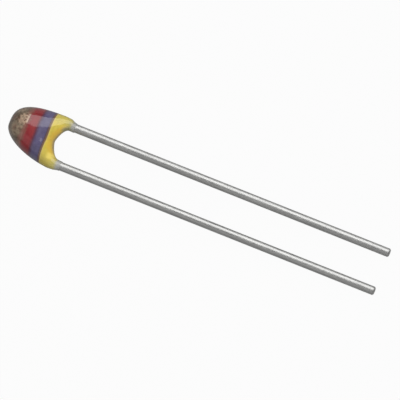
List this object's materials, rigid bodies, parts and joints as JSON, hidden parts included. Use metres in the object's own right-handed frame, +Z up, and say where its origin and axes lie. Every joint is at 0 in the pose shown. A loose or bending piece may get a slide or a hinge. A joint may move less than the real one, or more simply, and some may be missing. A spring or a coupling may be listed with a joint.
{
  "type": "ntc thermistor",
  "caption": "Radial-lead NTC thermistor: a rounded lacquered head with colour-code bands and two straight parallel wire leads, lying at rest.",
  "frame": {"origin": "on the floor under the part, midway between the two leads and halfway along the part", "axes": "+X from the head toward the lead tips, +Y toward the left lead, +Z up from the floor"},
  "size_m": [0.0254, 0.0035, 0.0026],
  "materials": {
    "tinned_copper": "bright drawn tin",
    "lacquer": "gloss",
    "yellow_paint": "gloss",
    "violet_paint": "gloss",
    "red_paint": "gloss",
    "gold_paint": "mottled metallic gloss",
    "oxide_ceramic": "matt",
    "fired_silver": "satin",
    "solder": "satin"
  },
  "bodies": {
    "root": {"lead_left": "tinned_copper", "lead_right": "tinned_copper", "lacquer_coating": "lacquer", "yellow_band": "yellow_paint", "violet_band": "violet_paint", "red_band": "red_paint", "gold_cap": "gold_paint", "ntc_chip": "oxide_ceramic", "electrode_left": "fired_silver", "electrode_right": "fired_silver", "solder_left": "solder", "solder_right": "solder"}
  },
  "joints": []
}
